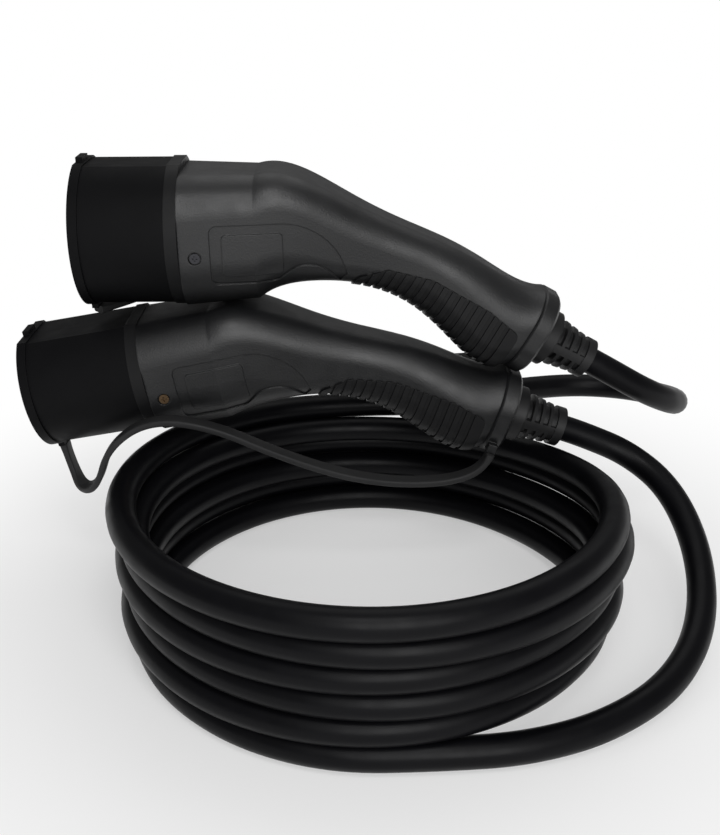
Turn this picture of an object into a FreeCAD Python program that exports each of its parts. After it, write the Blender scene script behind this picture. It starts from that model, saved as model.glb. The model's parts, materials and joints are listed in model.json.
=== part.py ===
import FreeCAD, Part
import math
import os
import Sketcher
from FreeCAD import Placement, Rotation, Vector

# A charging cable with a handle at each end. Every handle is drawn in its own frame: the nose axis
# is X, the front edge of its housing lies at x = 0, the nose points to -X and the tail to +X.
# The handles are then set down on the coil of cable, which stands on the floor at z = 0.

DEG = math.pi / 180

SIZES = {
    # noses: circles with a flat top
    "connector_cap_radius": 34.5,
    "connector_cap_centre": 2.8,
    "connector_cap_top": 32.2,
    "connector_cap_length": 59.4,
    "plug_cap_radius": 38.5,
    "plug_cap_centre": -0.2,
    "plug_cap_top": 36.0,
    "plug_cap_length": 48.0,
    "cap_wall": 2.5,
    "cap_flange": 5.0,
    "flange_lip": 1.0,
    "cap_end_gap": 1.0,
    "cap_clearance": 0.3,
    "lug_width": 12.0,
    "lug_height": 2.4,
    "lug_depth": 3.6,
    "lug_root": 3.0,
    "ring_length": 6.5,
    "ring_lip": 0.7,
    "shroud_wall": 2.8,
    "fit_gap": 0.1,
    # contact carrier
    "insert_radius": 24.6,
    "insert_centre": 0.0,
    "insert_top": 19.5,
    "insert_setback": 3.0,
    "insert_base": 10.0,
    "insert_gap": 0.15,
    "retainer_thickness": 13.0,
    # contacts
    "power_radius": 3.0,
    "pilot_radius": 1.5,
    "power_socket_wall": 1.4,
    "pilot_socket_wall": 0.9,
    "power_barrel_radius": 3.7,
    "pilot_barrel_radius": 2.1,
    "barrel_wall": 0.8,
    "barrel_length": 24.0,
    "barrel_depth": 11.0,
    "socket_depth": 34.0,
    "socket_setback": 2.0,
    "pin_reach": 30.0,
    "pin_tip": 1.0,
    "middle_row_y": 15.8,
    "middle_row_z": 0.0,
    "lower_row_y": 8.3,
    "lower_row_z": -14.2,
    "upper_row_y": 7.8,
    "upper_row_z": 12.6,
    # housing sections, front to tail
    "wall": 3.0,
    "skin_overrun": 1.5,
    "connector_front_width": 68.0,
    "connector_front_top": 32.2,
    "connector_front_bottom": 33.2,
    "plug_front_width": 73.0,
    "plug_front_top": 32.8,
    "plug_front_bottom": 38.9,
    "front_crown": 20.0,
    "front_belly": 31.0,
    "shoulder_x": 38.0,
    "shoulder_width": 63.0,
    "shoulder_top": 32.0,
    "connector_shoulder_bottom": 32.2,
    "plug_shoulder_bottom": 36.0,
    "shoulder_crown": 18.0,
    "shoulder_belly": 28.0,
    "bend_x": 60.0,
    "bend_z": 0.0,
    "bend_tilt": 10.0,
    "bend_width": 55.0,
    "bend_top": 28.6,
    "bend_bottom": 28.2,
    "bend_crown": 15.0,
    "bend_belly": 22.0,
    "waist_x": 82.3,
    "waist_z": -5.3,
    "waist_tilt": 21.0,
    "waist_width": 47.0,
    "waist_half": 21.7,
    "waist_corner": 14.5,
    "neck_x": 105.6,
    "neck_z": -12.9,
    "grip_tilt": 29.0,
    "neck_width": 41.0,
    "neck_half": 18.3,
    "neck_corner": 13.5,
    "middle_along": 45.7,
    "middle_width": 42.0,
    "middle_half": 20.9,
    "middle_corner": 15.5,
    "tail_along": 86.5,
    "tail_width": 46.0,
    "tail_half": 23.6,
    "tail_corner": 19.0,
    # soft grip with its ribs
    "grip_seat": 1.8,
    "grip_gap": 0.15,
    "rib_stand": 1.1,
    "groove_count": 16,
    "rib_pitch": 5.2,
    "groove_width": 2.2,
    "groove_start": -5.0,
    "grip_front": -9.0,
    "grip_front_up": -15.0,
    "grip_rise": 3.0,
    "grip_rise_up": -3.5,
    "grip_crown_front": 27.0,
    "grip_crown": 2.8,
    "grip_crown_back": 62.0,
    "grip_back": 82.0,
    "grip_back_up": -1.0,
    "grip_below": 40.0,
    "grip_round": 4.0,
    # side panel
    "panel_depth": 0.9,
    "panel_front": 15.6,
    "panel_top": 9.7,
    "panel_bottom": -21.8,
    "panel_corner_round": 4.0,
    "panel_brow_x": 78.4,
    "panel_brow_round": 35.0,
    "panel_back": 85.3,
    "panel_back_z": -19.5,
    "panel_tail_x": 81.4,
    "panel_tail_z": -23.3,
    "panel_wave_x": 72.5,
    "panel_wave_z": -13.4,
    "panel_wave_round": 17.0,
    "panel_rise_x": 59.0,
    "panel_rise_z": -13.2,
    "panel_rise_round": 12.0,
    "panel_dip_x": 49.0,
    "panel_dip_round": 8.0,
    "label_front": 21.7,
    "label_back": 52.4,
    "label_top": 4.9,
    "label_bottom": -17.1,
    "label_round": 2.2,
    # side screws
    "screw_x": 8.0,
    "screw_z": -6.5,
    "screw_recess_radius": 3.35,
    "screw_sink": 2.4,
    "screw_head_radius": 2.7,
    "screw_head_height": 1.2,
    "screw_shank_radius": 1.4,
    "screw_shank_length": 8.0,
    "screw_drive": 2.8,
    "screw_drive_width": 0.8,
    "screw_drive_depth": 0.7,
    # tail
    "collar_length": 10.0,
    "collar_lip": 0.4,
    "collar_bevel": 1.5,
    "collar_lug": 5.0,
    "collar_lug_back": 2.0,
    "collar_lug_drop": 13.0,
    "collar_lug_reach": 2.5,
    "collar_lug_root": 8.0,
    "boot_base_radius": 15.8,
    "boot_base_length": 8.0,
    "boot_length": 33.0,
    "boot_end_radius": 11.4,
    "boot_end_length": 5.2,
    "boot_neck_radius": 14.0,
    "boot_neck_end_radius": 11.0,
    "boot_slot_lead": 1.2,
    "boot_slots": 4,
    "boot_slot_width": 3.2,
    "boot_slot_pitch": 5.2,
    "boot_slot_floor": 9.4,
    "boot_spine": 5.0,
    "seal_length": 6.0,
    "seal_radius": 11.0,
    "clamp_start": 62.0,
    "clamp_length": 14.0,
    # cable and coil
    "cable_diameter": 15.0,
    "coil_radius": 123.0,
    "coil_wall": 24.0,
    "coil_left_height": 86.0,
    "coil_right_height": 66.0,
    "coil_round": 6.5,
    "strap_width": 9.0,
    "strap_thickness": 3.6,
    "connector_strap_start": 0.3,
    "connector_strap_end": 0.3,
    "plug_strap_start": 2.3,
    "plug_strap_end": 1.1,
    "cable_lead": 14.0,
    "through": 400.0,
    # where the handles come to rest
    "connector_x": -120.0,
    "connector_y": 70.0,
    "connector_z": 116.15,
    "connector_pitch": -10.05,
    "plug_x": -98.0,
    "plug_y": 74.0,
    "plug_z": 194.55,
    "plug_pitch": -0.38,
}

doc = FreeCAD.newDocument("ev_charging_cable")
sheet = doc.addObject("Spreadsheet::Sheet", "Sizes")
for row, (alias, number) in enumerate(SIZES.items(), start=1):
    sheet.set(f"A{row}", alias)
    sheet.set(f"B{row}", str(number))
    sheet.setAlias(f"B{row}", alias)
doc.recompute()

pieces = []


def size(name):
    return float(sheet.get(name))


def cell(expression):
    """Turn plain size names in an expression into references to the sheet."""
    words = []
    for word in expression.split():
        words.append("Sizes." + word if word in SIZES else word)
    return " ".join(words)


def keep(thing, label, prefix=None):
    """Name a finished sub-part and set its handle down on the coil."""
    thing.Label = label
    if prefix:
        thing.Placement = Placement(Vector(0, 0, 0), Rotation(Vector(0, 1, 0), 1))
        for axis in "xyz":
            thing.setExpression(f"Placement.Base.{axis}", cell(f"{prefix}_{axis}"))
        thing.setExpression("Placement.Rotation.Angle", cell(f"{prefix}_pitch"))
    pieces.append(thing)
    return thing


def combine(kind, name, base, tool):
    """A boolean of two objects: Part::Cut, Part::Common or Part::Fuse."""
    result = doc.addObject(kind, name)
    result.Base, result.Tool = base, tool
    return result


# Sketches

def new_sketch(body, name, role="YZ_Plane", along=None, height=None, tilt=None):
    """A sketch on one of the body's own planes, moved along its normal and tilted about Y."""
    sketch = body.newObject("Sketcher::SketchObject", name)
    plane = next(p for p in body.Origin.OriginFeatures if p.Role == role)
    sketch.AttachmentSupport = [(plane, "")]
    sketch.MapMode = "FlatFace"
    if tilt is not None:
        turn = Rotation(Vector(1, 0, 0), 1)
        sketch.AttachmentOffset = Placement(Vector(0, 0, 0), turn)
        sketch.setExpression("AttachmentOffset.Rotation.Angle", cell(tilt))
    if along is not None:
        sketch.setExpression("AttachmentOffset.Base.z", cell(along))
    if height is not None:
        sketch.setExpression("AttachmentOffset.Base.y", cell(height))
    return sketch


def bind(sketch, constraint, expression):
    index = sketch.addConstraint(constraint)
    sketch.setExpression(f"Constraints[{index}]", cell(expression))


def number(expression):
    """The present value of an expression of plain size names."""
    words = [str(size(word)) if word in SIZES else word for word in expression.split()]
    return FreeCAD.Units.Quantity(" ".join(words)).Value


def nose_outline(sketch, radius, centre, top):
    """A circle with a flat top: the outline of a nose, seen from the front."""
    r, c, t = number(radius), number(centre), number(top)
    half = math.sqrt(r * r - (t - c) ** 2)
    start, end = math.atan2(t - c, -half), math.atan2(t - c, half)
    circle = Part.Circle(Vector(0, c, 0), Vector(0, 0, 1), r)
    arc = sketch.addGeometry(Part.ArcOfCircle(circle, start, end + 2 * math.pi))
    flat = sketch.addGeometry(Part.LineSegment(Vector(half, t, 0), Vector(-half, t, 0)))
    sketch.addConstraint(Sketcher.Constraint("Coincident", arc, 2, flat, 1))
    sketch.addConstraint(Sketcher.Constraint("Coincident", arc, 1, flat, 2))
    sketch.addConstraint(Sketcher.Constraint("PointOnObject", arc, 3, -2))
    sketch.addConstraint(Sketcher.Constraint("Horizontal", flat))
    bind(sketch, Sketcher.Constraint("Radius", arc, r), radius)
    bind(sketch, Sketcher.Constraint("DistanceY", -1, 1, flat, 1, t), top)
    if c > 0:
        bind(sketch, Sketcher.Constraint("DistanceY", -1, 1, arc, 3, c), centre)
    elif c < 0:
        bind(sketch, Sketcher.Constraint("DistanceY", arc, 3, -1, 1, -c), f"-1 * ( {centre} )")
    else:
        sketch.addConstraint(Sketcher.Constraint("DistanceY", -1, 1, arc, 3, 0.0))


def rounded_outline(sketch, half_width, top, bottom, crown, belly):
    """A rounded rectangle, top and bottom corners rounded apart: a section of the housing."""
    a, t, b = number(half_width), number(top), number(bottom)
    rt, rb = number(crown), number(belly)
    corners = [(a - rt, t - rt, rt, 0), (-a + rt, t - rt, rt, 90),
               (-a + rb, -b + rb, rb, 180), (a - rb, -b + rb, rb, 270)]
    arcs = []
    for y, z, r, start in corners:
        circle = Part.Circle(Vector(y, z, 0), Vector(0, 0, 1), r)
        arcs.append(sketch.addGeometry(
            Part.ArcOfCircle(circle, start * DEG, (start + 90) * DEG)))
    ends = [((a - rt, t), (-a + rt, t)), ((-a, t - rt), (-a, -b + rb)),
            ((-a + rb, -b), (a - rb, -b)), ((a, -b + rb), (a, t - rt))]
    lines = [sketch.addGeometry(Part.LineSegment(Vector(*p, 0), Vector(*q, 0))) for p, q in ends]
    for i in range(4):
        sketch.addConstraint(Sketcher.Constraint("Tangent", arcs[i], 2, lines[i], 1))
        sketch.addConstraint(Sketcher.Constraint("Tangent", lines[i], 2, arcs[(i + 1) % 4], 1))
    sketch.addConstraint(Sketcher.Constraint("Horizontal", lines[0]))
    sketch.addConstraint(Sketcher.Constraint("Vertical", lines[1]))
    sketch.addConstraint(Sketcher.Constraint("Horizontal", lines[2]))
    sketch.addConstraint(Sketcher.Constraint("Vertical", lines[3]))
    sketch.addConstraint(Sketcher.Constraint("Equal", arcs[0], arcs[1]))
    sketch.addConstraint(Sketcher.Constraint("Equal", arcs[2], arcs[3]))
    bind(sketch, Sketcher.Constraint("Radius", arcs[0], rt), crown)
    bind(sketch, Sketcher.Constraint("Radius", arcs[2], rb), belly)
    bind(sketch, Sketcher.Constraint("DistanceX", -1, 1, lines[3], 1, a), half_width)
    bind(sketch, Sketcher.Constraint("DistanceX", lines[1], 1, -1, 1, a), half_width)
    bind(sketch, Sketcher.Constraint("DistanceY", -1, 1, lines[0], 1, t), top)
    bind(sketch, Sketcher.Constraint("DistanceY", lines[2], 1, -1, 1, b), bottom)


def circle_outline(sketch, radius, y="0", z="0"):
    r, cy, cz = number(radius), number(y), number(z)
    ring = sketch.addGeometry(Part.Circle(Vector(cy, cz, 0), Vector(0, 0, 1), r))
    bind(sketch, Sketcher.Constraint("Radius", ring, r), radius)
    for kind, value, text in (("DistanceX", cy, y), ("DistanceY", cz, z)):
        if abs(value) < 1e-6:
            sketch.addConstraint(Sketcher.Constraint(kind, -1, 1, ring, 3, 0.0))
        elif value > 0:
            bind(sketch, Sketcher.Constraint(kind, -1, 1, ring, 3, value), text)
        else:
            bind(sketch, Sketcher.Constraint(kind, ring, 3, -1, 1, -value), "-1 * ( " + text + " )")


def closed_outline(sketch, points):
    """A closed outline of straight sides through points, each a pair of expressions."""
    spots = [(number(u), number(v)) for u, v in points]
    sides = []
    for i, spot in enumerate(spots):
        nxt = spots[(i + 1) % len(spots)]
        sides.append(sketch.addGeometry(Part.LineSegment(Vector(*spot, 0), Vector(*nxt, 0))))
    for i in range(len(sides)):
        j = (i + 1) % len(sides)
        sketch.addConstraint(Sketcher.Constraint("Coincident", sides[i], 2, sides[j], 1))
    for i, (u, v) in enumerate(points):
        for kind, value, text in (("DistanceX", spots[i][0], u), ("DistanceY", spots[i][1], v)):
            if abs(value) < 1e-6:
                sketch.addConstraint(Sketcher.Constraint(kind, -1, 1, sides[i], 1, 0.0))
            elif value > 0:
                bind(sketch, Sketcher.Constraint(kind, -1, 1, sides[i], 1, value), text)
            else:
                flipped = "-1 * ( " + text + " )"
                bind(sketch, Sketcher.Constraint(kind, sides[i], 1, -1, 1, -value), flipped)


# Features

def new_body(name):
    return doc.addObject("PartDesign::Body", name)


def pad(body, name, sketch, length, reverse=False, both=False):
    feature = body.newObject("PartDesign::Pad", name)
    feature.Profile = sketch
    feature.Length = number(length)
    feature.setExpression("Length", cell(length))
    feature.Reversed = reverse
    feature.Midplane = both
    return feature


def pocket(body, name, sketch, length, reverse=False, both=False):
    """A cut from a sketch; the volume has to fall, so a cut that points away is noticed."""
    doc.recompute()
    before = body.Shape.Volume
    feature = body.newObject("PartDesign::Pocket", name)
    feature.Profile = sketch
    feature.Length = number(length)
    feature.setExpression("Length", cell(length))
    feature.Reversed = reverse
    feature.Midplane = both
    doc.recompute()
    if not body.Shape.Volume < before - 1e-3:
        raise RuntimeError(f"{name} cuts nothing")
    return feature


def housing_sections(prefix, overrun):
    """Name, place along x, height, tilt, half width, top, bottom, crown and belly of each section."""
    tail = f"( tail_along + {overrun} )"
    grip_x = "neck_x + {0} * cos( grip_tilt )"
    grip_z = "neck_z - {0} * sin( grip_tilt )"
    rows = [
        ("front", f"-1 * {overrun}", "0", "0", f"{prefix}_front_width / 2", f"{prefix}_front_top",
         f"{prefix}_front_bottom", "front_crown", "front_belly"),
        ("shoulder", "shoulder_x", "0", "0", "shoulder_width / 2", "shoulder_top",
         f"{prefix}_shoulder_bottom", "shoulder_crown", "shoulder_belly"),
        ("bend", "bend_x", "bend_z", "bend_tilt", "bend_width / 2", "bend_top",
         "bend_bottom", "bend_crown", "bend_belly"),
        ("waist", "waist_x", "waist_z", "waist_tilt", "waist_width / 2", "waist_half",
         "waist_half", "waist_corner", "waist_corner"),
        ("neck", "neck_x", "neck_z", "grip_tilt", "neck_width / 2", "neck_half",
         "neck_half", "neck_corner", "neck_corner"),
        ("middle", grip_x.format("middle_along"), grip_z.format("middle_along"), "grip_tilt",
         "middle_width / 2", "middle_half", "middle_half", "middle_corner", "middle_corner"),
        ("tail", grip_x.format(tail), grip_z.format(tail), "grip_tilt",
         "tail_width / 2", "tail_half", "tail_half", "tail_corner", "tail_corner"),
    ]
    return rows


def skin(prefix, name, inset, overrun="0"):
    """The bent shape of a handle as a loft through its sections, drawn in by an inset."""
    body = new_body(f"{prefix}_{name}")
    outlines = []
    for station, x, z, tilt, half, top, bottom, crown, belly in housing_sections(prefix, overrun):
        sketch = new_sketch(body, f"{prefix}_{name}_{station}", "YZ_Plane", x, z,
                            tilt if tilt != "0" else None)
        rounded_outline(sketch, f"{half} - {inset}", f"{top} - {inset}", f"{bottom} - {inset}",
                        f"{crown} - {inset}", f"{belly} - {inset}")
        outlines.append(sketch)
    front = body.newObject("PartDesign::AdditiveLoft", f"{prefix}_{name}_front_loft")
    front.Profile = outlines[0]
    front.Sections = outlines[1:2]
    rest = body.newObject("PartDesign::AdditiveLoft", f"{prefix}_{name}_loft")
    rest.Profile = outlines[1]
    rest.Sections = outlines[2:]
    return body


def grip_place(along):
    """Expressions for a place on the grip's axis, at a distance behind the neck."""
    return (f"neck_x + ( {along} ) * cos( grip_tilt )", f"neck_z - ( {along} ) * sin( grip_tilt )")


def grip_sketch(body, name):
    """A sketch in the handle's middle plane, its X along the grip's axis from the neck."""
    sketch = new_sketch(body, name, "XZ_Plane")
    sketch.AttachmentOffset = Placement(Vector(0, 0, 0), Rotation(Vector(0, 0, -1), 1))
    sketch.setExpression("AttachmentOffset.Rotation.Angle", cell("grip_tilt"))
    sketch.setExpression("AttachmentOffset.Base.x", cell("neck_x"))
    sketch.setExpression("AttachmentOffset.Base.y", cell("neck_z"))
    return sketch


def cross_sketch(body, name, along):
    """A sketch square to the grip's axis, at a distance behind the neck."""
    x, z = grip_place(along)
    return new_sketch(body, name, "YZ_Plane", x, z, "grip_tilt")


# Nose pieces

def nose_sizes(prefix, inset):
    """Radius, centre and top of the nose's outline, drawn in from the cap's outside."""
    return (f"{prefix}_cap_radius - {inset}", f"{prefix}_cap_centre", f"{prefix}_cap_top - {inset}")


def nose_front(prefix):
    return f"cap_flange + cap_end_gap - ring_length - {prefix}_cap_length"


NOSE_INSET = "cap_wall - cap_clearance"
CAVITY_INSET = "cap_wall - cap_clearance - shroud_wall"


def make_cap(prefix):
    """The push-on cap: a deep cup with a flange round its closed end and a lug above and below."""
    body = new_body(f"{prefix}_cap_body")
    front = f"-1 * ring_length - {prefix}_cap_length"
    wall = new_sketch(body, f"{prefix}_cap_wall_outline", along=front)
    nose_outline(wall, *nose_sizes(prefix, "0"))
    pad(body, f"{prefix}_cap_cup", wall, f"{prefix}_cap_length")
    rim = new_sketch(body, f"{prefix}_cap_flange_outline", along=front)
    nose_outline(rim, *nose_sizes(prefix, "( -1 * flange_lip )"))
    pad(body, f"{prefix}_cap_flange_disc", rim, "cap_flange")
    top = f"{prefix}_cap_top + flange_lip"
    bottom = f"{prefix}_cap_centre - {prefix}_cap_radius - flange_lip"
    for name, inner, outer in (("top", f"{top} - lug_root", f"{top} + lug_height"),
                               ("bottom", f"{bottom} - lug_height", f"{bottom} + lug_root")):
        lug = new_sketch(body, f"{prefix}_cap_{name}_lug_outline", along=front)
        closed_outline(lug, [("-0.5 * lug_width", inner), ("0.5 * lug_width", inner),
                             ("0.5 * lug_width", outer), ("-0.5 * lug_width", outer)])
        pad(body, f"{prefix}_cap_{name}_lug", lug, "lug_depth")
    hollow = new_sketch(body, f"{prefix}_cap_hollow_outline", along="-1 * ring_length")
    nose_outline(hollow, *nose_sizes(prefix, "cap_wall"))
    pocket(body, f"{prefix}_cap_hollow", hollow, f"{prefix}_cap_length - cap_flange")
    return keep(body, f"{prefix}_cap", prefix)


def make_ring(prefix):
    """The collar that the cap's edge meets, round the root of the nose."""
    body = new_body(f"{prefix}_ring_body")
    outline = new_sketch(body, f"{prefix}_ring_outline", along="-1 * ring_length")
    nose_outline(outline, *nose_sizes(prefix, "( -1 * ring_lip )"))
    pad(body, f"{prefix}_ring_disc", outline, "ring_length")
    hole = new_sketch(body, f"{prefix}_ring_hole_outline")
    nose_outline(hole, *nose_sizes(prefix, f"{NOSE_INSET} + fit_gap"))
    pocket(body, f"{prefix}_ring_hole", hole, "ring_length")
    return keep(body, f"{prefix}_front_ring", prefix)


def make_shroud(prefix):
    """The nose sleeve, open at both ends."""
    body = new_body(f"{prefix}_shroud_body")
    outline = new_sketch(body, f"{prefix}_shroud_outline", along=nose_front(prefix))
    nose_outline(outline, *nose_sizes(prefix, NOSE_INSET))
    length = f"{prefix}_cap_length + ring_length - cap_flange - cap_end_gap"
    pad(body, f"{prefix}_shroud_sleeve", outline, length)
    hole = new_sketch(body, f"{prefix}_shroud_hole_outline")
    nose_outline(hole, *nose_sizes(prefix, CAVITY_INSET))
    pocket(body, f"{prefix}_shroud_cavity", hole, length)
    return keep(body, f"{prefix}_shroud", prefix)


def contact_layout(prefix):
    """Name, y, z, pin radius, socket wall and barrel radius of the seven contacts."""
    hand = "" if prefix == "plug" else "-1 * "
    other = "-1 * " if prefix == "plug" else ""
    power = ("power_radius", "power_socket_wall", "power_barrel_radius")
    pilot = ("pilot_radius", "pilot_socket_wall", "pilot_barrel_radius")
    return [
        ("l1", hand + "middle_row_y", "middle_row_z", *power),
        ("n", other + "middle_row_y", "middle_row_z", *power),
        ("pe", "0", "middle_row_z", *power),
        ("l2", hand + "lower_row_y", "lower_row_z", *power),
        ("l3", other + "lower_row_y", "lower_row_z", *power),
        ("cp", hand + "upper_row_y", "upper_row_z", *pilot),
        ("pp", other + "upper_row_y", "upper_row_z", *pilot),
    ]


def make_insert(prefix):
    """The contact carrier: a base that fills the sleeve, and on the connector a long block."""
    body = new_body(f"{prefix}_insert_body")
    base = new_sketch(body, f"{prefix}_insert_base_outline", along="-1 * insert_base")
    nose_outline(base, *nose_sizes(prefix, f"{CAVITY_INSET} - insert_gap"))
    pad(body, f"{prefix}_insert_base", base, "insert_base")
    reach = "insert_base"
    if prefix == "connector":
        reach = f"-1 * ( {nose_front(prefix)} ) - insert_setback"
        block = new_sketch(body, f"{prefix}_insert_block_outline", along="-1 * insert_base")
        nose_outline(block, "insert_radius", "insert_centre", "insert_top")
        pad(body, f"{prefix}_insert_block", block, f"{reach} - insert_base", reverse=True)
    holes = new_sketch(body, f"{prefix}_insert_holes_outline")
    for name, y, z, radius, wall, barrel in contact_layout(prefix):
        circle_outline(holes, f"{radius} + {wall} + fit_gap", y, z)
    pocket(body, f"{prefix}_insert_holes", holes, reach)
    return keep(body, f"{prefix}_contact_insert", prefix)


def make_retainer(prefix, lining):
    """The plate behind the carrier that holds the contacts and takes the two side screws."""
    block = new_body(f"{prefix}_retainer_block")
    square = new_sketch(block, f"{prefix}_retainer_block_outline")
    half = f"{prefix}_front_width"
    closed_outline(square, [(f"-1 * {half}", f"-1 * {half}"), (half, f"-1 * {half}"),
                            (half, half), (f"-1 * {half}", half)])
    pad(block, f"{prefix}_retainer_slab", square, "retainer_thickness")
    plate = combine("Part::Common", f"{prefix}_retainer_plate", lining, block)
    drill = new_body(f"{prefix}_retainer_drill")
    holes = new_sketch(drill, f"{prefix}_retainer_holes", along="-1 * insert_gap")
    for name, y, z, radius, wall, barrel in contact_layout(prefix):
        circle_outline(holes, f"{barrel} + fit_gap", y, z)
    pad(drill, f"{prefix}_retainer_drill_pins", holes, "retainer_thickness + 2 * insert_gap")
    drilled = combine("Part::Cut", f"{prefix}_retainer_drilled", plate, drill)
    bores = new_body(f"{prefix}_retainer_screw_bores")
    bore = new_sketch(bores, f"{prefix}_retainer_screw_bore", "XZ_Plane")
    circle_outline(bore, "screw_shank_radius + fit_gap", "screw_x", "screw_z")
    pad(bores, f"{prefix}_retainer_screw_bore_pad", bore, f"{prefix}_front_width", both=True)
    holed = combine("Part::Cut", f"{prefix}_retainer_holed", drilled, bores)
    return keep(holed, f"{prefix}_contact_retainer", prefix)


def make_contacts(prefix):
    """Seven turned contacts: bored sockets in the connector, solid pins in the plug."""
    made = []
    for name, y, z, radius, wall, barrel in contact_layout(prefix):
        body = new_body(f"{prefix}_{name}_body")
        sketch = new_sketch(body, f"{prefix}_{name}_profile", "XZ_Plane", f"-1 * {y}", z)
        crimp = f"{barrel} - barrel_wall"
        tail = [("0", f"{radius} + {wall}"), ("0", barrel), ("barrel_length", barrel),
                ("barrel_length", crimp), ("barrel_length - barrel_depth", crimp),
                ("barrel_length - barrel_depth", "0")]
        if prefix == "connector":
            front = f"{nose_front(prefix)} + insert_setback + socket_setback"
            head = [(f"{front} + socket_depth", "0"), (f"{front} + socket_depth", radius),
                    (front, radius), (front, f"{radius} + {wall}")]
            kind = "socket"
        else:
            tip = "-1 * insert_base - pin_reach"
            head = [(tip, "0"), (tip, f"{radius} - pin_tip"), (f"{tip} + pin_tip", radius),
                    ("-1 * insert_base", radius), ("-1 * insert_base", f"{radius} + {wall}")]
            kind = "pin"
        closed_outline(sketch, head + tail)
        feature = body.newObject("PartDesign::Revolution", f"{prefix}_{name}_turned")
        feature.Profile = sketch
        feature.ReferenceAxis = (sketch, ["H_Axis"])
        feature.Angle = 360
        made.append(keep(body, f"{prefix}_{kind}_{name}", prefix))
    return made


# Housing, its panel, and the soft grip

def make_panel_tool(prefix):
    """The side panel's field between its outline and the label's, right through the handle."""
    body = new_body(f"{prefix}_panel_tool")
    sketch = new_sketch(body, f"{prefix}_panel_outline", "XZ_Plane")
    brow, back = ("panel_brow_x", "panel_top"), ("panel_back", "panel_back_z")
    tail, wave = ("panel_tail_x", "panel_tail_z"), ("panel_wave_x", "panel_wave_z")
    rise, dip = ("panel_rise_x", "panel_rise_z"), ("panel_dip_x", "panel_bottom")
    low, high = ("panel_front", "panel_bottom"), ("panel_front", "panel_top")
    closed_outline(sketch, [low, dip, rise, wave, tail, back, brow, high])
    pad(body, f"{prefix}_panel_prism", sketch, "through", both=True)
    for name, corners in (("corner", (low, high)), ("brow", (brow,)), ("wave", (wave,)),
                          ("rise", (rise,)), ("dip", (dip,))):
        round_edges(body, f"{prefix}_panel_{name}_rounding", f"panel_{name}_round", corner_at(corners))
    label = new_sketch(body, f"{prefix}_label_outline", "XZ_Plane")
    corners = [("label_front", "label_bottom"), ("label_back", "label_bottom"),
               ("label_back", "label_top"), ("label_front", "label_top")]
    closed_outline(label, corners)
    pocket(body, f"{prefix}_label_field", label, "through", both=True)
    round_edges(body, f"{prefix}_label_rounding", "label_round", corner_at(corners))
    return body


def corner_at(corners):
    """A test for the edges along Y that stand at these corners of a side view."""
    places = [(number(x), number(z)) for x, z in corners]

    def chosen(edge):
        x, z = edge.Vertexes[0].X, edge.Vertexes[0].Z
        near = any(math.hypot(x - u, z - w) < 0.01 for u, w in places)
        return runs_across(edge) and near
    return chosen


def round_edges(body, name, radius, chosen):
    """Round those edges of a body so far for which chosen(edge) is true."""
    doc.recompute()
    last = body.Tip
    edges = [f"Edge{i}" for i, edge in enumerate(last.Shape.Edges, start=1) if chosen(edge)]
    fillet = body.newObject("PartDesign::Fillet", name)
    fillet.Base = (last, edges)
    fillet.Radius = number(radius)
    fillet.setExpression("Radius", cell(radius))
    doc.recompute()
    return fillet


def runs_across(edge):
    """Whether an edge runs along Y, as the corners of a prism through the handle do."""
    return abs(edge.tangentAt(edge.FirstParameter).y) > 0.99


def make_grip_field(prefix):
    """The side view of the soft grip, right through the handle: an arched top, open below."""
    body = new_body(f"{prefix}_grip_field")
    sketch = grip_sketch(body, f"{prefix}_grip_field_outline")
    closed_outline(sketch, [
        ("grip_front", "-1 * grip_below"), ("grip_front", "grip_front_up"),
        ("grip_rise", "grip_rise_up"), ("grip_crown_front", "grip_crown"),
        ("grip_crown_back", "grip_crown"), ("grip_back", "grip_back_up"),
        ("grip_back", "-1 * grip_below")])
    pad(body, f"{prefix}_grip_field_prism", sketch, "through", both=True)
    round_edges(body, f"{prefix}_grip_field_corners", "grip_round", runs_across)
    return body


def make_groove_comb(prefix):
    """Slices square to the grip's axis, joined below it: the grooves between the ribs."""
    body = new_body(f"{prefix}_rib_comb")
    last = "groove_start + ( groove_count - 1 ) * rib_pitch + groove_width"
    spine = grip_sketch(body, f"{prefix}_groove_spine_outline")
    closed_outline(spine, [
        ("groove_start", "-1 * grip_below - groove_width"), (last, "-1 * grip_below - groove_width"),
        (last, "-1 * grip_below"), ("groove_start", "-1 * grip_below")])
    pad(body, f"{prefix}_groove_spine", spine, "through", both=True)
    tooth = grip_sketch(body, f"{prefix}_groove_outline")
    closed_outline(tooth, [
        ("groove_start", "-1 * grip_below - groove_width / 2"),
        ("groove_start + groove_width", "-1 * grip_below - groove_width / 2"),
        ("groove_start + groove_width", "grip_crown + groove_width"),
        ("groove_start", "grip_crown + groove_width")])
    first = pad(body, f"{prefix}_groove", tooth, "through", both=True)
    pattern = body.newObject("PartDesign::LinearPattern", f"{prefix}_grooves")
    pattern.Originals = [first]
    pattern.Direction = (tooth, ["H_Axis"])
    pattern.setExpression("Length", cell("( groove_count - 1 ) * rib_pitch"))
    pattern.setExpression("Occurrences", cell("groove_count"))
    body.Tip = pattern
    return body


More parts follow.
